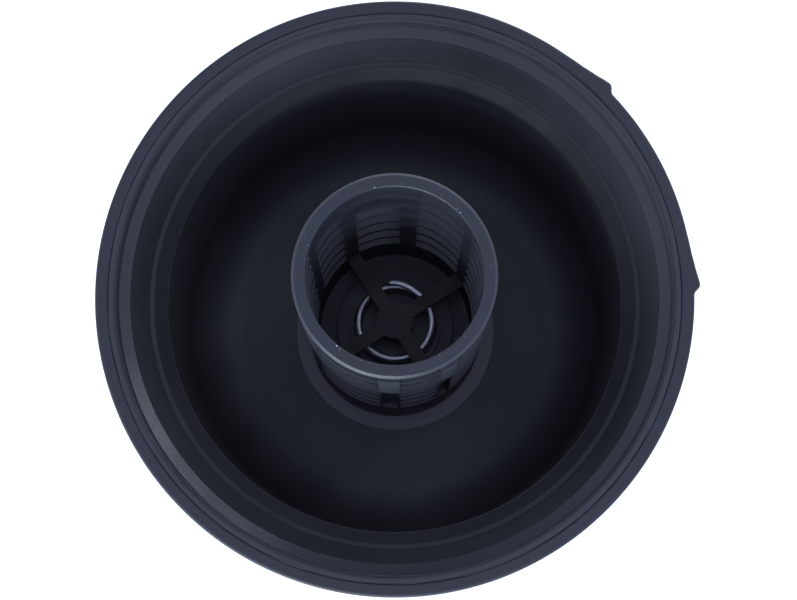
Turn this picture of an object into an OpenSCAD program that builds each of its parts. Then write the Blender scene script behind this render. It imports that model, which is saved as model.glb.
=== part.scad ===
// Screw-on oil filter bowl with a slotted centre tube, a bypass valve in the
// foot of the tube and a drain valve and drain plug in the closed end.
// Millimetres. +Z points out of the open end; the bowl stands on z = 0.

/* [Bowl] */
// radius over the thread and the rim land
rim_r = 43; // [41:0.5:45]
// height of the rim above the standing face
rim_z = 79; // [78:0.5:81]
// depth from the rim down to the bowl floor
bowl_depth = 55; // [53:0.5:55]
// radius of the bore that takes the filter element, at its mouth
bore_r = 33.6; // [33:0.1:33.8]
// how much narrower the bore is at the floor fillet
bore_draft = 0.8; // [0.2:0.1:1.0]
// radius of the fillet round the floor
floor_fillet = 8; // [6:0.5:8]
// radius of the flutes' outside, for the filter wrench
skirt_r = 37; // [36.4:0.1:38]
// number of wrench flutes and of ribs under the floor
flutes = 14; // [12:1:16]
// outer radius of the inner moulding where the threaded collar grips it
joint_r = 41; // [40.8:0.1:41.1]

/* [Thread collar] */
// distance from one thread ridge to the next
thread_pitch = 4; // [3.6:0.1:4]
// height of a thread ridge
thread_height = 1.1; // [0.8:0.05:1.2]
// thickness of the plain land at the rim
land_height = 2; // [1.6:0.1:2.4]
// how far a locking ramp stands out of the rim
ramp_height = 0.85; // [0.5:0.05:1.1]

/* [Centre tube] */
// outer radius of the slotted tube
tube_r = 13.85; // [13.6:0.05:13.9]
// wall of the slotted tube
tube_wall = 1.85; // [1.75:0.05:1.9]
// how far the tube stands above the rim
tube_reach = 25.5; // [24:0.5:30]
// distance from one row of slots to the next
slot_pitch = 8.7; // [8.4:0.1:8.7]
// thickness of the bar between two rows
bar_height = 2; // [1.4:0.1:2.6]
// height of the closed ring at the tube's mouth
mouth_ring = 1.6; // [1.2:0.1:2.2]
// rows of slots
rows = 7; // [5:1:7]

/* [Valves] */
// wire thickness of the bypass spring
bypass_wire = 1.05; // [0.9:0.05:1.15]
// mean radius of the bypass spring
bypass_coil_r = 5.8; // [5.6:0.1:5.9]
// climbing turns of the bypass spring
bypass_turns = 2.5; // [1.5:0.5:2.5]
// width of one arm of the spring keeper
keeper_arm = 2.2; // [1.8:0.1:2.6]
// wire thickness of the drain valve spring
drain_wire = 0.8; // [0.6:0.05:0.9]
// climbing turns of the drain valve spring
drain_turns = 3; // [2:0.5:3]

/* [Drain plug] */
// outside radius of the plug's thread
plug_r = 8.95; // [8.8:0.05:8.98]
// width across the flats of the square drive
drive_flats = 9.6; // [9.5:0.05:9.8]

/* [Hidden] */
$fn = 96;
// facets round one turn of a spring, and round its wire
coil_steps = 24;
wire_sides = 10;
// small clearance between parts that are fixed to each other
seat_gap = 0.02;
floor_z = rim_z - bowl_depth;
// top of the ribs under the floor, and of the wrench flutes outside
rib_top = floor_z - 4;
flute_top = floor_z + 9;
// lead-in cone of the mouth, the steep wall below it and the shelf
rim_lip_z = rim_z - 3;
cone_r = 39.8;
cone_end_r = 38.25;
cone_end_z = rim_z - 3.6;
shelf_r = 36.15;
shelf_top = rim_z - 10.15;
shelf_z = rim_z - 13;
low_bore_r = bore_r - bore_draft;
flange_z = rim_z - 26;
flange_top = rim_z - 21.4;
groove_top = rim_z - 17.2;
groove_r = joint_r - 0.9;
boss_r = 16;
boss_z = 1.5;
// levels of the valve gear, all measured from the bowl floor
recess_z = floor_z - 2.5;
recess_r = 16.2;
tube_bore = tube_r - tube_wall;
tube_top = rim_z + tube_reach;
plate_z = floor_z + 3.5;
plate_top = plate_z + 2;
keeper_z = floor_z + 16.1;
keeper_top = keeper_z + 2;
disc_z = plate_top + 0.9;
disc_top = disc_z + 1.2;
cup_top = disc_top + 0.5;
seat_z = floor_z - 8;
seat_top = seat_z + 2;
insert_z = 6.2;
insert_top = seat_z - 2;
insert_bore = 9;
// middle angle and width, in degrees, of each upright post of the tube
posts = [
  [32, 8.5], [79.7, 12], [122.3, 10], [160, 10],
  [212, 10], [266.3, 12.5], [301.5, 9.5], [348, 10]
];
// rows left closed at the top of the window that follows each post
closed_rows = [0, 2, 1, 0, 0, 0, 0, 0];
// posts that carry a snap block for the filter element
hook_posts = [5, 6];
// ledge at the lower end of the snap blocks
hook_z = tube_top - mouth_ring - 2.4 * slot_pitch;
// angles of the keeper's arms
arm_angles = [32, 122.3, 212, 301.5];

// a ring of rectangular section
module band(r_in, r_out, z0, z1) {
  rotate_extrude()
    translate([r_in, z0])
      square([r_out - r_in, z1 - z0]);
}

// part of a ring, from angle a0 to a1
module sector(r_in, r_out, z0, z1, a0, a1) {
  rotate([0, 0, a0])
    rotate_extrude(angle = a1 - a0)
      translate([r_in, z0])
        square([r_out - r_in, z1 - z0]);
}

// a round ring
module ring(r_mid, r_wire, z) {
  rotate_extrude()
    translate([r_mid, z])
      circle(r = r_wire);
}

// a compression spring: half a flat turn at each end and climbing turns between
module coil(r_mid, r_wire, z0, z1, turns) {
  low = z0 + r_wire;
  high = z1 - r_wire;
  last = ceil((turns + 1) * coil_steps);
  step = (turns + 1) * 360 / last;
  ring_points = [
    for (i = [0 : last])
      let (a = i * step, z = low + (high - low) * max(0, min(1, (a - 180) / (360 * turns))))
        for (j = [0 : wire_sides - 1])
          let (p = j * 360 / wire_sides, r = r_mid + r_wire * cos(p))
            [r * cos(a), r * sin(a), z + r_wire * sin(p)]
  ];
  skin = [
    for (i = [0 : last - 1])
      for (j = [0 : wire_sides - 1])
        let (k = (j + 1) % wire_sides, here = i * wire_sides, next = here + wire_sides)
          each [[here + j, here + k, next + k], [here + j, next + k, next + j]]
  ];
  start_cap = [for (j = [0 : wire_sides - 1]) wire_sides - 1 - j];
  end_cap = [for (j = [0 : wire_sides - 1]) last * wire_sides + j];
  polyhedron(points = ring_points, faces = concat([start_cap], skin, [end_cap]), convexity = 10);
}

// section of the bowl's inside, from the floor up past the rim
module bowl_inside() {
  difference() {
    polygon([
      [0, floor_z], [low_bore_r, floor_z], [low_bore_r, floor_z + floor_fillet],
      [bore_r, shelf_z], [shelf_r, shelf_z], [shelf_r, shelf_top],
      [cone_end_r, cone_end_z], [cone_r, rim_lip_z], [cone_r + 0.15, rim_z - 0.3],
      [cone_r + 0.45, rim_z], [cone_r + 0.45, rim_z + 1], [0, rim_z + 1]
    ]);
    difference() {
      translate([low_bore_r - floor_fillet, floor_z - 1])
        square([floor_fillet + 1, floor_fillet + 1]);
      translate([low_bore_r - floor_fillet, floor_z + floor_fillet])
        circle(r = floor_fillet);
    }
  }
}

// section of the bowl's outside
module bowl_outside() {
  difference() {
    polygon([
      [0, 0], [skirt_r - 0.8, 0], [skirt_r, 0.8], [skirt_r, flute_top],
      [skirt_r - 0.8, flute_top + 1], [skirt_r - 0.3, flange_z - 5], [rim_r - 0.5, flange_z],
      [rim_r - 0.1, flange_z + 0.4], [rim_r - 0.1, flange_top - 0.3],
      [rim_r - 0.4, flange_top], [groove_r, flange_top], [groove_r, groove_top],
      [joint_r, groove_top], [joint_r, rim_z], [0, rim_z]
    ]);
    translate([boss_r, -1])
      square([8, rib_top + 1]);
    translate([boss_r + 10, -1])
      square([skirt_r - 3 - boss_r - 10, rib_top + 1]);
    translate([0, -1])
      square([boss_r, boss_z + 1]);
    translate([boss_r + 8 - 0.01, -1])
      square([2.02, 3]);
  }
}

// moulded bowl: wrench flutes, ribs, drain boss, flange, seal groove and mouth
module filter_bowl() {
  color([0.10, 0.11, 0.14])
  difference() {
    union() {
      rotate_extrude()
        bowl_outside();
      for (i = [0 : flutes - 1])
        rotate([0, 0, (i + 0.5) * 360 / flutes])
          translate([boss_r - 0.5, -1, 2])
            cube([skirt_r - boss_r - 2, 2, rib_top - 1.5]);
      band(cone_r + 0.7, cone_r + 0.85, rim_z - 0.1, rim_z + 0.1);
    }
    rotate_extrude()
      bowl_inside();
    for (i = [0 : flutes - 1])
      rotate([0, 0, i * 360 / flutes])
        translate([skirt_r + 3.6, 0, -1])
          cylinder(r = 5, h = flute_top - 2);
    translate([0, 0, recess_z])
      cylinder(r = recess_r, h = 4);
    band(13.6, 15.4, recess_z - 1.2, recess_z + 1);
    translate([0, 0, insert_top])
      cylinder(r = 9.5, h = recess_z - insert_top + 1);
    translate([0, 0, insert_z - 1])
      cylinder(r = 11.5 + seat_gap, h = insert_top - insert_z + 1);
    translate([0, 0, -1])
      cylinder(r = 12.9, h = insert_z + 1);
  }
}

// one locking ramp on the rim's edge: steep on one side, a long slope on the other
module lock_ramp(a) {
  peak = rim_r + ramp_height;
  rotate([0, 0, a])
    translate([0, 0, rim_z - 3])
      linear_extrude(height = 3)
        polygon([
          [(rim_r - 0.8) * cos(-1.5), (rim_r - 0.8) * sin(-1.5)],
          [(rim_r - 0.02) * cos(-1.5), (rim_r - 0.02) * sin(-1.5)],
          [peak * cos(-0.4), peak * sin(-0.4)],
          [peak * cos(0.4), peak * sin(0.4)],
          [(rim_r - 0.02) * cos(5.5), (rim_r - 0.02) * sin(5.5)],
          [(rim_r - 0.8) * cos(5.5), (rim_r - 0.8) * sin(5.5)]
        ]);
}

// outer threaded collar joined to the bowl at its mouth, with two locking ramps
module thread_collar() {
  root = rim_r - thread_height;
  low = groove_top;
  color([0.12, 0.13, 0.16])
  union() {
    difference() {
      union() {
        rotate_extrude()
          polygon([
            [joint_r + seat_gap, low], [root, low], [root, rim_z - land_height - 0.5],
            [rim_r, rim_z - land_height], [rim_r, rim_z - 0.25], [rim_r - 0.25, rim_z],
            [joint_r + seat_gap, rim_z]
          ]);
        for (i = [0 : 2])
          rotate_extrude()
            translate([root, rim_z - land_height - 3 - i * thread_pitch])
              polygon([[-0.3, -1.35], [0, -1.2], [thread_height, -0.6], [thread_height, 0.6],
                [0, 1.2], [-0.3, 1.35]]);
      }
      translate([0, 0, low - 5])
        cylinder(r = joint_r + seat_gap, h = 30);
    }
    lock_ramp(1.3);
    lock_ramp(43.9);
  }
}

// rubber ring in the groove between the thread and the flange
module body_seal() {
  color([0.05, 0.05, 0.06])
    ring(groove_r + 1.52, 1.5, (flange_top + groove_top) / 2);
}

// chamfered sealing ring on the shelf that the filter element closes against
module shelf_seal() {
  color([0.13, 0.14, 0.18])
  rotate_extrude()
    polygon([
      [bore_r + 0.1, shelf_z], [shelf_r - 0.05, shelf_z], [shelf_r - 0.05, shelf_top],
      [shelf_r - 0.75, shelf_top - 0.25], [shelf_r - 0.75, shelf_top - 0.6],
      [bore_r + 0.1, shelf_top - 2.3]
    ]);
}

// slotted tube over which the filter element slides
module centre_tube() {
  mouth = tube_top - mouth_ring;
  color([0.16, 0.17, 0.21])
  difference() {
    union() {
      rotate_extrude()
        polygon([
          [tube_bore, recess_z], [recess_r - 0.3, recess_z], [recess_r - 0.3, recess_z + 1.5],
          [tube_r, recess_z + 1.5], [tube_r, tube_top - 0.35], [tube_r - 0.35, tube_top],
          [tube_bore + 0.1, tube_top], [tube_bore, tube_top - 0.1]
        ]);
      band(tube_bore - 0.9, tube_bore + 0.2, plate_z - 0.7, plate_z);
      for (p = hook_posts)
        sector(tube_r - 0.3, tube_r + 0.4, hook_z, tube_top - mouth_ring,
          posts[p][0] - posts[p][1] / 2 + 0.5, posts[p][0] + posts[p][1] / 2 - 0.5);
    }
    for (i = [0 : 7])
      for (k = [closed_rows[i] : rows - 1])
        sector(tube_bore - 1, tube_r + 1,
          mouth - k * slot_pitch - (slot_pitch - bar_height), mouth - k * slot_pitch,
          posts[i][0] + posts[i][1] / 2,
          (i == 7 ? 360 + posts[0][0] : posts[i + 1][0])
            - (i == 7 ? posts[0][1] : posts[i + 1][1]) / 2);
    for (p = hook_posts)
      sector(tube_r - 0.7, tube_r + 1, floor_z + 20, hook_z - 0.2,
        posts[p][0] - posts[p][1] / 2 + 1.2, posts[p][0] + posts[p][1] / 2 - 1.2);
    for (i = [0 : 7])
      sector(tube_bore - 1, tube_r + 1, floor_z + 0.6, plate_z - 0.9,
        posts[i][0] + posts[i][1] / 2,
        (i == 7 ? 360 + posts[0][0] : posts[i + 1][0])
          - (i == 7 ? posts[0][1] : posts[i + 1][1]) / 2);
    for (a = arm_angles)
      rotate([0, 0, a])
        translate([0, -keeper_arm / 2 - 0.03, keeper_z - 0.03])
          cube([tube_bore + 0.6, keeper_arm + 0.06, 2.06]);
  }
}

// steel ring that locks the tube's foot flange into the floor recess
module tube_lock_ring() {
  color([0.55, 0.56, 0.58])
    band(tube_r + 0.1, recess_r - seat_gap, recess_z + 1.52, recess_z + 2.3);
}

// rubber ring under the tube's foot flange
module tube_foot_seal() {
  color([0.05, 0.05, 0.06])
    ring(14.5, 0.58, recess_z - 0.6);
}

// plate across the tube: seat of the bypass valve above, spring stop of the drain valve below
module valve_plate() {
  color([0.20, 0.21, 0.25])
  difference() {
    union() {
      translate([0, 0, plate_z])
        cylinder(r = tube_bore - 0.03, h = 2);
      translate([0, 0, plate_z])
        cylinder(r = 4.2, h = 2);
    }
    translate([0, 0, plate_z - 1])
      cylinder(r = 2.1, h = 2.6);
    for (a = [0 : 60 : 300])
      rotate([0, 0, a])
        translate([6.1, 0, plate_z - 1])
          cylinder(r = 1.5, h = 4);
  }
}

// poppet of the bypass valve with its guide pin
module bypass_valve() {
  color([0.62, 0.60, 0.54])
  union() {
    translate([0, 0, disc_z])
      cylinder(r = 9.2, h = 1.2);
    translate([0, 0, disc_z + 0.2])
      cylinder(r = 2, h = 6.1);
    translate([0, 0, disc_z + 6.3])
      cylinder(r1 = 2, r2 = 1.5, h = 0.5);
  }
}

// rubber face under the poppet
module bypass_face() {
  color([0.05, 0.05, 0.06])
    band(3.9, 9.1, plate_top + 0.05, disc_z);
}

// steel cup that centres the bypass spring on the poppet
module spring_cup() {
  color([0.60, 0.61, 0.62])
  union() {
    band(2.4, 7.3, disc_top, cup_top);
    band(6.7, 7.3, disc_top + 0.1, disc_top + 1.5);
  }
}

// steel spring that closes the bypass valve
module bypass_spring() {
  color([0.70, 0.72, 0.75])
    rotate([0, 0, -80])
      coil(bypass_coil_r, bypass_wire / 2, cup_top, keeper_z, bypass_turns);
}

// four-armed keeper across the tube that holds the bypass spring down
module spring_keeper() {
  color([0.17, 0.18, 0.22])
  difference() {
    union() {
      for (a = arm_angles)
        rotate([0, 0, a])
          translate([0, -keeper_arm / 2, keeper_z])
            cube([tube_bore + 0.5, keeper_arm, 2]);
      translate([0, 0, keeper_z - 3.6])
        cylinder(r = 2.85, h = 5.6);
    }
    translate([0, 0, keeper_z - 4.6])
      cylinder(r = 2.06, h = 5.2);
  }
}

// metal seat ring of the drain valve, held in the boss
module drain_seat() {
  color([0.75, 0.62, 0.35])
  rotate_extrude()
    polygon([[5, seat_z], [9.48, seat_z], [9.48, seat_top], [5.4, seat_top], [5, seat_top - 0.4]]);
}

// drain valve: disc, guide vanes below and spring pin above
module drain_valve() {
  color([0.62, 0.60, 0.54])
  difference() {
    union() {
      translate([0, 0, seat_top + 0.6])
        cylinder(r = 7.6, h = 1.8);
      translate([0, 0, seat_top + 1])
        cylinder(r = 2, h = 7.6);
      translate([-4.8, -0.6, seat_z - 1])
        cube([9.6, 1.2, 4]);
      translate([-0.6, -4.8, seat_z - 1])
        cube([1.2, 9.6, 4]);
    }
    band(5.75, 7.25, seat_top, seat_top + 1.5);
  }
}

// rubber ring in the underside of the drain valve
module drain_valve_seal() {
  color([0.05, 0.05, 0.06])
    ring(6.5, 0.72, seat_top + 0.77);
}

// steel spring that closes the drain valve
module drain_spring() {
  color([0.70, 0.72, 0.75])
    coil(3, drain_wire / 2, seat_top + 2.4, plate_z, drain_turns);
}

// brass threaded bush moulded into the drain boss
module drain_insert() {
  color([0.78, 0.62, 0.30])
  difference() {
    union() {
      band(insert_bore, 11.5, insert_z, insert_top);
    }
    band(11.1, 12, insert_z + 2.6, insert_z + 3.4);
  }
}

// drain plug with a square drive
module drain_plug() {
  color([0.66, 0.67, 0.69])
  difference() {
    union() {
      rotate_extrude()
        polygon([
          [0, boss_z], [12, boss_z], [12.5, boss_z + 0.5], [12.5, insert_z - 1.2], [0, insert_z - 1.2]
        ]);
      translate([0, 0, insert_z - 1.4])
        cylinder(r = plug_r, h = insert_top - insert_z + 0.6);
      translate([0, 0, insert_top - 0.8])
        cylinder(r1 = plug_r, r2 = plug_r - 0.8, h = 0.8);
    }
    translate([-drive_flats / 2, -drive_flats / 2, boss_z - 1])
      cube([drive_flats, drive_flats, 9]);
  }
}

// sealing washer under the plug's head
module plug_washer() {
  color([0.72, 0.45, 0.28])
    band(plug_r + 0.1, 12.4, insert_z - 1.2, insert_z - 0.03);
}

filter_bowl();
thread_collar();
body_seal();
shelf_seal();
centre_tube();
tube_lock_ring();
tube_foot_seal();
valve_plate();
bypass_valve();
bypass_face();
spring_cup();
bypass_spring();
spring_keeper();
drain_seat();
drain_valve();
drain_valve_seal();
drain_spring();
drain_insert();
drain_plug();
plug_washer();
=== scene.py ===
"""Looks of a screw-on oil filter bowl: nylon, rubber, steel and brass finishes, camera, lights.

Metres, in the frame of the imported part: +Z out of the open end, origin on the standing face.
"""
import math

import bpy
import numpy as np
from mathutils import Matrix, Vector


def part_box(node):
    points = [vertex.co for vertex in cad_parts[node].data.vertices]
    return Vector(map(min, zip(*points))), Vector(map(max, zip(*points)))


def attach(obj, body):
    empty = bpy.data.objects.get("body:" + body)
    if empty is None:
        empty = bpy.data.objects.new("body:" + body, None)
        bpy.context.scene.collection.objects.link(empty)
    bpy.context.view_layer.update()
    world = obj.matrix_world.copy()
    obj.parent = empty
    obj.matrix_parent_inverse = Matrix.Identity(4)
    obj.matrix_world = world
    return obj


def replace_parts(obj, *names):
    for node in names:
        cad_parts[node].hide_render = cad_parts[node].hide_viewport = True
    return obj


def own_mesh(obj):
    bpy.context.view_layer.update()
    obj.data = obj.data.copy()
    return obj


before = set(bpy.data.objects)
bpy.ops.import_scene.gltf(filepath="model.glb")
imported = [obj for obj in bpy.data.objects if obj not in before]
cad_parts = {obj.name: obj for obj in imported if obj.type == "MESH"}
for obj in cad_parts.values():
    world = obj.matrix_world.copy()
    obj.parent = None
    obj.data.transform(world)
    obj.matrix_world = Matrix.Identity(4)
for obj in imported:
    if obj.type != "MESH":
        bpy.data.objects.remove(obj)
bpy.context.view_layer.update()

MM = 0.001

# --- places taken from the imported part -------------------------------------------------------
collar_low, collar_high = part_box("thread_collar")
RIM_Z = collar_high.z
COLLAR_FOOT_Z = collar_low.z
RIM_R = -collar_low.x
JOINT_R = RIM_R - 2 * MM
SHELF_TOP_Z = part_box("shelf_seal")[1].z
TUBE_TOP_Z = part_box("centre_tube")[1].z
CONE_Z = RIM_Z - 3.3 * MM  # middle of the mouth's lead-in cone
BOWL_BODY = "bowl"


# --- small tools -----------------------------------------------------------------------------
def linear(hex_colour):
    """sRGB hex to linear RGBA: c/12.92 below 0.04045, else ((c + 0.055)/1.055)^2.4."""
    c = np.array([int(hex_colour[i:i + 2], 16) for i in (1, 3, 5)]) / 255
    c = np.where(c <= 0.04045, c / 12.92, ((c + 0.055) / 1.055) ** 2.4)
    return (*c.tolist(), 1.0)


def node(tree, kind, inputs=None, **settings):
    """Adds a node with its settings; an input is a value or the socket that feeds it."""
    made = tree.nodes.new(kind)
    for key, value in settings.items():
        setattr(made, key, value)
    for key, value in (inputs or {}).items():
        if isinstance(value, bpy.types.NodeSocket):
            tree.links.new(value, made.inputs[key])
        else:
            made.inputs[key].default_value = value
    return made


def ramp(tree, factor, stops):
    """Colour ramp through (position, colour) stops."""
    made = node(tree, "ShaderNodeValToRGB", {"Fac": factor})
    points = made.color_ramp.elements
    while len(points) < len(stops):
        points.new(0.5)
    for point, (place, colour) in zip(points, stops):
        point.position = place
        point.color = colour
    return made.outputs["Color"]


def new_material(name):
    """An empty node material with its surface shader and the Object coordinates."""
    material = bpy.data.materials.new(name)
    material.use_nodes = True
    tree = material.node_tree
    tree.nodes.clear()
    output = node(tree, "ShaderNodeOutputMaterial")
    shader = node(tree, "ShaderNodeBsdfPrincipled")
    tree.links.new(shader.outputs["BSDF"], output.inputs["Surface"])
    place = node(tree, "ShaderNodeTexCoord").outputs["Object"]
    return material, tree, shader, place


# size of the slow clouds that shift a finish between its two colours, and spacing of the pale flecks
# painted in as glints
CLOUD = 9 * MM
GLINT_SPACING = 1.6 * MM
# share of its roughness that a polished band keeps, and how far from its middle it starts to end
POLISH = 0.45
POLISH_CORE, POLISH_EDGE = 0.45 * MM, 0.6 * MM
# nylon, acetal and nitrile rubber are all close to this
PLASTIC_IOR = 1.5


def finish_with(name, colour, other_colour, roughness, spread, grain_mm, bump_mm,
                metallic=0.0, glint_flecks=0.0, polished_at=None):
    """A finish of two close colours in slow clouds, with a fine grain in roughness and height.

    glint_flecks is the strength of sparse pale dots in the base colour: painted glints of the glass
    ends.
    Polished_at is the height of a smoother band: roughness is multiplied by POLISH inside POLISH_CORE
    of it, and by 1 past POLISH_EDGE."""
    material, tree, shader, place = new_material(name)
    grain = node(tree, "ShaderNodeTexNoise",
                 {"Vector": place, "Scale": 1 / (grain_mm * MM), "Detail": 3.0, "Roughness": 0.55})
    cloud = node(tree, "ShaderNodeTexNoise", {"Vector": place, "Scale": 1 / CLOUD, "Detail": 2.0})
    shade = node(tree, "ShaderNodeMix", {"Factor": cloud.outputs["Fac"], "A": linear(colour),
                                         "B": linear(other_colour)}, data_type="RGBA")
    base = shade.outputs["Result"]
    # pale dots in the base colour: the glass ends are real, but their brightness is a painted glint
    if glint_flecks:
        spots = node(tree, "ShaderNodeTexVoronoi",
                     {"Vector": place, "Scale": 1 / GLINT_SPACING, "Randomness": 1.0})
        dot = node(tree, "ShaderNodeMapRange",
                   {"Value": spots.outputs["Distance"], "From Min": 0.05, "From Max": 0.10,
                    "To Min": glint_flecks, "To Max": 0.0})
        pale = node(tree, "ShaderNodeMix", {"Factor": dot.outputs["Result"], "A": base,
                                            "B": linear("#c9cfdd")}, data_type="RGBA")
        base = pale.outputs["Result"]
    tree.links.new(base, shader.inputs["Base Color"])
    rough = node(tree, "ShaderNodeMapRange",
                 {"Value": grain.outputs["Fac"], "From Min": 0.3, "From Max": 0.7,
                  "To Min": roughness - spread, "To Max": roughness + spread}).outputs["Result"]
    if polished_at:
        z = node(tree, "ShaderNodeSeparateXYZ", {"Vector": place}).outputs["Z"]
        above = node(tree, "ShaderNodeMath", {0: z, 1: polished_at}, operation="SUBTRACT")
        away = node(tree, "ShaderNodeMath", {0: above.outputs["Value"]}, operation="ABSOLUTE")
        share = node(tree, "ShaderNodeMapRange",
                     {"Value": away.outputs["Value"], "From Min": POLISH_CORE,
                      "From Max": POLISH_EDGE, "To Min": POLISH, "To Max": 1.0})
        rough = node(tree, "ShaderNodeMath", {0: rough, 1: share.outputs["Result"]},
                     operation="MULTIPLY").outputs["Value"]
    tree.links.new(rough, shader.inputs["Roughness"])
    bump = node(tree, "ShaderNodeBump", {"Height": grain.outputs["Fac"],
                                         "Distance": bump_mm * MM, "Strength": 1.0})
    tree.links.new(bump.outputs["Normal"], shader.inputs["Normal"])
    shader.inputs["Metallic"].default_value = metallic
    if not metallic:
        shader.inputs["IOR"].default_value = PLASTIC_IOR
    return material


# --- finishes --------------------------------------------------------------------------------
# Grains of 0.2 to 0.5 mm are coarser than the real ones, which are too fine to show.
# Thin flash squeezed out where two mouldings meet: smooth skin, so it takes a thin bright line.
flash_nylon = finish_with("nylon_flash_worn", "#30323a", "#3c3f48", 0.30, 0.08, 0.2, 0.01)
# Bruised crumbs of nylon: broken faces scatter light, so they turn nearly white.
chip_nylon = finish_with("nylon_chip_bruised", "#c3c8d2", "#9aa0ad", 0.6, 0.1, 0.2, 0.01)
# Glass-filled nylon out of a satin mould: nearly black; the lead-in cone is smoother, so it gleams.
bowl_nylon = finish_with("glass_filled_nylon_moulded", "#343539", "#3a3b40", 0.55, 0.05, 0.5, 0.015,
                         polished_at=CONE_Z)
# The same nylon out of a grained mould: matt, cool, with a few glass ends whose glints are painted in
# as pale flecks.
collar_nylon = finish_with("glass_filled_nylon_matt", "#24262e", "#292b34", 0.55, 0.05, 0.45, 0.04,
                           glint_flecks=0.06)
# Finer grain and more glass at the skin: a little glossier than the collar, with clearer painted
# glint flecks.
tube_nylon = finish_with("glass_filled_nylon_fine_grain", "#262830", "#2c2f38", 0.44, 0.05, 0.3, 0.03,
                         glint_flecks=0.1)
# Unfilled nylon, satin: the darkest plastic, its black deepened by painted shade so the keeper sinks
# into the tube's shade.
keeper_nylon_shaded = finish_with("nylon_satin", "#101114", "#141519", 0.5, 0.05, 0.4, 0.02)
# Nitrile rubber as moulded: black and dull, with only a broad soft sheen.
seal_rubber = finish_with("nitrile_rubber_moulded", "#0b0b0d", "#101013", 0.6, 0.08, 0.25, 0.02)
# Nitrile rubber, dull, its black lightened by painted light for the valve face deep in the tube.
valve_rubber = finish_with("nitrile_rubber_worn", "#4c4d53", "#54555b", 0.6, 0.08, 0.25, 0.02)
# Nitrile rubber with a satin skin: close to the nylon around it.
shelf_rubber = finish_with("nitrile_rubber_satin", "#202126", "#25262c", 0.55, 0.06, 0.25, 0.02)
# Bright drawn wire: silvery, with highlights broadened by the die's fine scratches.
spring_steel = finish_with("spring_wire_drawn", "#e6e8ee", "#cdd0d8", 0.45, 0.08, 0.2, 0.01, 1.0)
# Black oxide over steel: a non-metallic skin with a soft gloss, its black lightened to dark grey by
# painted light for the cup deep in the tube.
dark_steel = finish_with("steel_black_oxide", "#5a5b62", "#505158", 0.42, 0.08, 0.3, 0.01)
# Moulded acetal: even and slightly waxy, its black lightened to dark grey by painted light for the
# valve deep in the tube.
valve_acetal = finish_with("acetal_black", "#54555c", "#5a5b61", 0.42, 0.05, 0.4, 0.01)
# Turned brass, aluminium and copper: coloured metal with highlights softened by tool marks;
# the copper is annealed, so it is the dullest.
brass = finish_with("brass_turned", "#b79a5a", "#a88b4c", 0.35, 0.08, 0.25, 0.01, 1.0)
plug_aluminium = finish_with("aluminium_machined", "#b4b6ba", "#a5a8ad", 0.38, 0.08, 0.25, 0.01, 1.0)
washer_copper = finish_with("copper_annealed", "#a86f52", "#97614a", 0.5, 0.08, 0.3, 0.01, 1.0)

FINISH = {
    "filter_bowl": bowl_nylon, "thread_collar": collar_nylon, "body_seal": seal_rubber,
    "shelf_seal": shelf_rubber, "centre_tube": tube_nylon, "tube_lock_ring": dark_steel,
    "tube_foot_seal": seal_rubber, "valve_plate": valve_acetal, "bypass_valve": valve_acetal,
    "bypass_face": valve_rubber, "spring_cup": dark_steel, "bypass_spring": spring_steel,
    "spring_keeper": keeper_nylon_shaded, "drain_seat": brass, "drain_valve": valve_acetal,
    "drain_valve_seal": seal_rubber, "drain_spring": spring_steel, "drain_insert": brass,
    "drain_plug": plug_aluminium, "plug_washer": washer_copper,
}
for name, material in FINISH.items():
    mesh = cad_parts[name].data
    mesh.materials.clear()
    mesh.materials.append(material)


# --- pieces worked out as surfaces -------------------------------------------------------------
def surface(name, x, y, z, material, ring=True):
    """Closed mesh on the bowl from a grid of points: rows go round a section, columns along a path.

    Each quad joins (row, column) to the next row and column, both wrapping round; where the path
    is no ring, its last column stays open and both ends get a flat cap. The faces are turned over
    if the volume that they enclose, a sixth of the sum of a . (b x c), comes out negative."""
    rows, columns = x.shape
    points = np.stack([x, y, z], -1).reshape(-1, 3)
    row, column = np.meshgrid(np.arange(rows), np.arange(columns), indexing="ij")
    after = (row + 1) % rows * columns
    beside = (column + 1) % columns
    quads = np.stack([row * columns + column, row * columns + beside, after + beside,
                      after + column], -1)
    quads = (quads if ring else quads[:, :-1]).reshape(-1, 4)
    a, b, c, d = (points[quads[:, i]] for i in range(4))
    volume = (a * np.cross(b, c)).sum() + (a * np.cross(c, d)).sum()
    start = np.arange(rows) * columns
    caps = [] if ring else [start.tolist(), (start + columns - 1)[::-1].tolist()]
    faces = quads.tolist() + caps
    if volume < 0:
        faces = [face[::-1] for face in faces]
    mesh = bpy.data.meshes.new(name)
    mesh.from_pydata(points.tolist(), [], faces)
    mesh.polygons.foreach_set("use_smooth", np.arange(len(faces)) < len(quads))
    mesh.materials.append(material)
    mesh.update()
    made = bpy.data.objects.new(name, mesh)
    bpy.context.collection.objects.link(made)
    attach(made, BOWL_BODY)
    return made


# angles of the two locking ramps' tips in degrees; the rise round a tip, as (degrees, mm)
RAMP_ANGLES = (1.3, 43.9)
RAMP_SHAPE = ((-1.5, -0.4, 0.4, 3, 6, 10), (0, 0.85, 0.85, 0.42, 0.12, 0))
TIP_ROUNDING = np.linspace(-0.35, 0.35, 15)
EDGE_ROUND = 0.5 * MM
THREAD_DEPTH = 1.1 * MM
THREAD_PITCH = 4 * MM
THREAD_TURNS = 3.1
THREAD_START = 1.5 * MM  # above the collar's foot
RIDGE_HALF_WIDTH, FLANK_WIDTH = 1.2 * MM, 0.6 * MM
RUN_OUT = 0.1  # turns over which the ridge fades at each end
LAND_HEIGHT, LAND_SLOPE, RAMP_REACH = 2.5 * MM, 0.5 * MM, 3 * MM
# the line between collar and bowl: how wide it gapes, and how far the collar dips into it
JOINT_GAP, JOINT_DIP = 0.12 * MM, 0.08 * MM
FOOT_CHAMFER = 0.2 * MM


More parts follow.
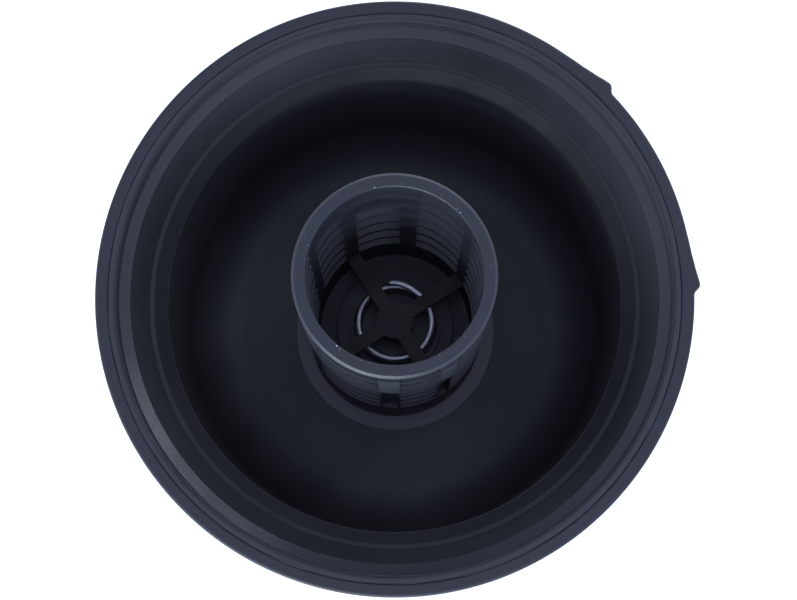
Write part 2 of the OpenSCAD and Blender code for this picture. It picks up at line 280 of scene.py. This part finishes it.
def ramp_height(angle):
    """Rise of the rim's edge at an angle in degrees, in metres.

    From each ramp's steep foot it climbs in about one degree to its peak, and then falls on a
    slightly hollow slope; a box average over 0.7 degrees rounds the tip."""
    rise = np.zeros_like(angle)
    for shift in TIP_ROUNDING:
        for tip in RAMP_ANGLES:
            from_tip = (angle + shift - tip + 180) % 360 - 180
            rise += np.interp(from_tip, *RAMP_SHAPE) / len(TIP_ROUNDING)
    return rise * MM


def collar():
    """Threaded collar: a section carried round the axis, its outer wall cut as a right-hand thread.

    The wall's radius at height z and t turns round is root + depth * f(|z - zc|), where zc is the
    nearest turn's height, start + pitch * (k + t) for a whole k, and f is a flat crest with sloping
    flanks. The ridge fades over RUN_OUT at both ends. Near the rim the wall is the plain land, with
    the locking ramps added to it, and its top edge is a quarter round."""
    near = [tip + np.arange(-2.2, 2.2, 0.1) for tip in RAMP_ANGLES]
    angle = np.unique(np.round(np.concatenate([np.arange(0, 360, 0.75), *near]) % 360, 3))
    root, crest = RIM_R - THREAD_DEPTH, RIM_R
    inner = JOINT_R + JOINT_GAP
    rise = ramp_height(angle)
    wall_z = np.linspace(COLLAR_FOOT_Z + FOOT_CHAMFER, RIM_Z - EDGE_ROUND, 76)[::-1]
    z, turn = np.meshgrid(wall_z, angle / 360, indexing="ij")
    start_z = COLLAR_FOOT_Z + THREAD_START
    along = np.round((z - start_z) / THREAD_PITCH - turn) + turn
    off = np.abs(z - start_z - THREAD_PITCH * along)
    fade = np.clip(along / RUN_OUT, 0, 1) * np.clip((THREAD_TURNS - along) / RUN_OUT, 0, 1)
    ridge = np.clip((RIDGE_HALF_WIDTH - off) / FLANK_WIDTH, 0, 1)
    wall = root + THREAD_DEPTH * ridge * fade
    land = root + THREAD_DEPTH * np.clip((z - (RIM_Z - LAND_HEIGHT)) / LAND_SLOPE, 0, 1)
    ramps = np.where((rise > 0.01 * MM) & (z > RIM_Z - RAMP_REACH), crest + rise, 0)
    wall = np.maximum(np.maximum(wall, land), ramps)
    top = crest + rise
    bend = np.radians(np.linspace(90, 0, 7))[:-1, None]
    edge = top - EDGE_ROUND + EDGE_ROUND * np.cos(bend)
    edge_z = np.broadcast_to(RIM_Z - EDGE_ROUND + EDGE_ROUND * np.sin(bend), edge.shape)
    across = np.linspace(0, 1, 9)[:-1, None]
    band = inner + (top - EDGE_ROUND - inner) * across
    band_z = np.full_like(band, RIM_Z)
    band_z[0] -= JOINT_DIP
    foot = np.repeat(np.array([[root - FOOT_CHAMFER], [inner]]), len(angle), 1)
    foot_z = np.full_like(foot, COLLAR_FOOT_Z)
    r = np.concatenate([band, edge, wall, foot])
    z = np.concatenate([band_z, edge_z, z, foot_z])
    a = np.radians(angle)
    return surface("collar_threaded", r * np.cos(a), r * np.sin(a), z, collar_nylon)


def bead(name, radius, thick, material):
    """Closed bead lying on the rim: a circle of radius thick(t) round a path at radius(t)."""
    t = np.linspace(0, 2 * np.pi, 720, endpoint=False)
    s = np.linspace(0, 2 * np.pi, 6, endpoint=False)[:, None]
    r = radius(t) + thick(t) * np.cos(s)
    z = RIM_Z - 0.01 * MM + thick(t) * np.sin(s)
    return surface(name, r * np.cos(t), r * np.sin(t), z, material)


def wander(seed, strength, waves):
    """A smooth closed curve of t: a few sines of whole numbers of waves with random phases."""
    luck = np.random.default_rng(seed)
    phase, size = luck.uniform(0, 2 * np.pi, len(waves)), luck.uniform(0.4, 1, len(waves))
    return lambda t: strength * sum(k * np.sin(w * t + p) for k, w, p in zip(size, waves, phase))


BALL_RINGS, BALL_SIDES = 4, 7
BALL_DENT, BALL_SQUASH = 0.35, 0.6


def crumbs(name, places, sizes, seed, material):
    """Small broken crumbs: for each place a ball of that size, squashed and dented by noise.

    A ball is a grid of latitude and longitude whose radius is size * (1 + BALL_DENT * random), its
    height taken down to BALL_SQUASH, with a flat cap at each end."""
    luck = np.random.default_rng(seed)
    lat = np.linspace(-np.pi / 2 + 0.25, np.pi / 2 - 0.25, BALL_RINGS)[:, None]
    lon = np.linspace(0, 2 * np.pi, BALL_SIDES, endpoint=False)
    row, column = np.meshgrid(np.arange(BALL_RINGS - 1) * BALL_SIDES, np.arange(BALL_SIDES),
                              indexing="ij")
    beside = (column + 1) % BALL_SIDES
    quads = np.stack([row + column, row + beside, row + BALL_SIDES + beside,
                      row + BALL_SIDES + column], -1).reshape(-1, 4)
    last = BALL_SIDES * (BALL_RINGS - 1)
    points, faces = [], []
    for number, (place, size) in enumerate(zip(places, sizes)):
        r = size * (1 + BALL_DENT * luck.uniform(-1, 1, (BALL_RINGS, BALL_SIDES)))
        ball = np.stack([r * np.cos(lat) * np.cos(lon), r * np.cos(lat) * np.sin(lon),
                         BALL_SQUASH * r * np.sin(lat)], -1)
        points.append(ball.reshape(-1, 3) + np.array(place))
        first = number * BALL_RINGS * BALL_SIDES
        faces += (first + quads).tolist()
        faces += [[first + k for k in reversed(range(BALL_SIDES))],
                  [first + last + k for k in range(BALL_SIDES)]]
    mesh = bpy.data.meshes.new(name)
    mesh.from_pydata(np.concatenate(points).tolist(), [], faces)
    mesh.materials.append(material)
    made = bpy.data.objects.new(name, mesh)
    bpy.context.collection.objects.link(made)
    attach(made, BOWL_BODY)
    return made


SWELL_DEGREES = 50


def coil_spring(name, node_name, radius, wire, turns, first_angle, flare):
    """Compression spring in its CAD node's height: a round wire swept along a right-hand helix.

    Over turns + 1 turns in all, the height stays level for the first and last half turn and climbs
    evenly between; over the last SWELL_DEGREES the radius swells by flare."""
    low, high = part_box(node_name)
    height = high.z - low.z
    total = turns + 1
    u = np.linspace(0, total, int(total * 72) + 1)
    middle = low.z + wire / 2 + (height - wire) * np.clip((u - 0.5) / turns, 0, 1)
    swell = np.clip(1 - (total - u) * 360 / SWELL_DEGREES, 0, 1)
    mid_r = radius + flare * swell * swell * (3 - 2 * swell)
    s = np.linspace(0, 2 * np.pi, 16, endpoint=False)[:, None]
    angle = np.radians(first_angle) + 2 * np.pi * u
    r = mid_r + wire / 2 * np.cos(s)
    made = surface(name, r * np.cos(angle), r * np.sin(angle), middle + wire / 2 * np.sin(s),
                   spring_steel, ring=False)
    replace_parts(made, node_name)
    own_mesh(made)


def polar(r_mm, degrees, z):
    """A point at a radius in millimetres, an angle and a height in metres."""
    a = math.radians(degrees)
    return (r_mm * MM * math.cos(a), r_mm * MM * math.sin(a), z)


def rim_flash():
    """Three uneven beads of flash on the rim: two at the mouth's edge, a patchy one at the joint."""
    drift = wander(3, 0.07 * MM, (2, 3, 5, 9))
    bead("lip_flash_outer", lambda t: 40.25 * MM + drift(t),
         lambda t: (0.045 + 0.02 * np.sin(7 * t)) * MM, flash_nylon)
    drift_in = wander(8, 0.06 * MM, (2, 4, 7, 11))
    bead("lip_flash_inner", lambda t: 39.98 * MM + drift_in(t),
         lambda t: (0.04 + 0.02 * np.sin(5 * t + 2)) * MM, flash_nylon)
    break_up = wander(5, 1.0, (3, 8, 17, 29))
    bead("joint_burr", lambda t: np.full_like(t, JOINT_R + 0.05 * MM),
         lambda t: (0.03 + 0.045 * np.clip(break_up(t), 0, 1)) * MM, flash_nylon)


def shelf_scuff():
    """A patch of rubbed-up crumbs on the shelf's seal, scattered at random about its middle."""
    count, middle_r, middle_angle = 26, 35.75, 241
    luck = np.random.default_rng(12)
    places = [polar(middle_r + 0.28 * out, middle_angle + 3.6 * round_, SHELF_TOP_Z)
              for round_, out in luck.uniform(-1, 1, (count, 2))]
    crumbs("shelf_scuff", places, luck.uniform(0.03, 0.10, count) * MM, 4, flash_nylon)


def mouth_chips():
    """Bruises round the tube's mouth, each by its angle, radius and size in millimetres."""
    chips = ((102, 12.15, 0.11), (230, 12.2, 0.13), (233, 12.35, 0.07), (43, 12.2, 0.10),
             (46, 12.3, 0.06), (59, 12.5, 0.06), (280, 12.8, 0.06), (248, 12.2, 0.05),
             (318, 12.4, 0.05), (160, 12.3, 0.05))
    crumbs("mouth_chips", [polar(r, angle, TUBE_TOP_Z) for angle, r, size in chips],
           [size * MM for angle, r, size in chips], 6, chip_nylon)


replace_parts(collar(), "thread_collar")
coil_spring("bypass_spring_wire", "bypass_spring", radius=5.8 * MM, wire=1.05 * MM, turns=2.5,
            first_angle=-80, flare=0.55 * MM)
coil_spring("drain_spring_wire", "drain_spring", radius=3 * MM, wire=0.8 * MM, turns=3,
            first_angle=0, flare=0)
rim_flash()
shelf_scuff()
mouth_chips()


# --- camera ----------------------------------------------------------------------------------
# a long lens from in front, leaning a little off the axis
SENSOR_MM = 36
LENS_MM = 117.44
LEAN = math.radians(6.0813)
DISTANCE = 372.4 * MM
rim_centre = Vector((0, 0, RIM_Z))
back = Vector((0, -math.sin(LEAN), math.cos(LEAN)))
aim = rim_centre + Vector((0.53 * MM, -0.64 * MM, 0))
camera_data = bpy.data.cameras.new("camera")
camera_data.sensor_width = SENSOR_MM
camera_data.lens = LENS_MM
camera_data.clip_start = 0.01
camera = bpy.data.objects.new("camera", camera_data)
camera.location = rim_centre + back * DISTANCE
camera.rotation_mode = "QUATERNION"
camera.rotation_quaternion = (aim - camera.location).to_track_quat("-Z", "Y")
bpy.context.collection.objects.link(camera)
bpy.context.scene.camera = camera
bpy.context.scene.view_settings.view_transform = "Standard"


# --- stage: pale floor and soft studio lights ---------------------------------------------------
FLOOR_HALF_SIDE = 3.0
FLOOR_GLOW = 0.6
# cool skylight; behind the part only SCREEN_SHARE of it is left, as if a screen stood there
SKY_TINT = (0.65, 0.715, 1.0)
SKY_STRENGTH = 3.7
SCREEN_SHARE = 0.30
LAMP_TINT = (0.80, 0.88, 1.0)


def floor():
    """A flat square, far wider than the part: opal acrylic lit from below, even and matt."""
    mesh = bpy.data.meshes.new("floor")
    s = FLOOR_HALF_SIDE
    mesh.from_pydata([(-s, -s, 0), (s, -s, 0), (s, s, 0), (-s, s, 0)], [], [(0, 1, 2, 3)])
    made = bpy.data.objects.new("floor", mesh)
    bpy.context.collection.objects.link(made)
    material, tree, shader, place = new_material("opal_acrylic_table")
    cloud = node(tree, "ShaderNodeTexNoise", {"Vector": place, "Scale": 12.0, "Detail": 2.0})
    white = ramp(tree, cloud.outputs["Fac"], [(0.3, linear("#f4f5f8")), (0.7, linear("#f7f8fa"))])
    tree.links.new(white, shader.inputs["Base Color"])
    shader.inputs["Roughness"].default_value = 0.8
    shader.inputs["Emission Color"].default_value = linear("#fbfcff")
    shader.inputs["Emission Strength"].default_value = FLOOR_GLOW
    mesh.materials.append(material)
    return made


def panel(name, azimuth, elevation, distance, wide, high, power):
    """A soft rectangular lamp, by its direction and distance from the mouth, turned towards it."""
    a, e = math.radians(azimuth), math.radians(elevation)
    way = Vector((math.cos(a) * math.cos(e), math.sin(a) * math.cos(e), math.sin(e)))
    place = rim_centre + distance * way
    lamp = bpy.data.lights.new(name, "AREA")
    lamp.shape = "RECTANGLE"
    lamp.size = wide
    lamp.size_y = high
    lamp.energy = power
    lamp.color = LAMP_TINT
    made = bpy.data.objects.new(name, lamp)
    made.location = place
    made.rotation_mode = "QUATERNION"
    made.rotation_quaternion = (rim_centre - place).to_track_quat("-Z", "Y")
    bpy.context.collection.objects.link(made)
    return made


def sky(stops):
    """World light by height: a direction's Z picks its brightness from (z, grey) stops, tinted cool.

    Where the direction's Y passes from 0.45 to 0.65, the strength falls to SCREEN_SHARE of itself."""
    world = bpy.data.worlds.new("studio")
    bpy.context.scene.world = world
    world.use_nodes = True
    tree = world.node_tree
    way = node(tree, "ShaderNodeTexCoord").outputs["Generated"]
    up = node(tree, "ShaderNodeSeparateXYZ", {"Vector": way}).outputs["Z"]
    shade = ramp(tree, up, [(z, (*(g * share for share in SKY_TINT), 1)) for z, g in stops])
    beyond = node(tree, "ShaderNodeSeparateXYZ", {"Vector": way}).outputs["Y"]
    screened = node(tree, "ShaderNodeMapRange",
                    {"Value": beyond, "From Min": 0.45, "From Max": 0.65,
                     "To Min": SKY_STRENGTH, "To Max": SKY_STRENGTH * SCREEN_SHARE})
    background = tree.nodes["Background"]
    tree.links.new(shade, background.inputs["Color"])
    tree.links.new(screened.outputs["Result"], background.inputs["Strength"])


floor()
sky([(0.0, 0.26), (0.12, 0.27), (0.30, 0.28), (0.55, 0.26), (0.80, 0.22), (0.96, 0.25), (1.0, 0.42)])
panel("right_a", 38, 50, 0.6, 0.085, 0.10, 0.24)
panel("right_b", 58, 49, 0.6, 0.080, 0.10, 0.13)
panel("front_low", 248, 11, 0.7, 0.70, 0.16, 5.5)
panel("back_low", 75, 11, 0.7, 0.70, 0.12, 1.5)
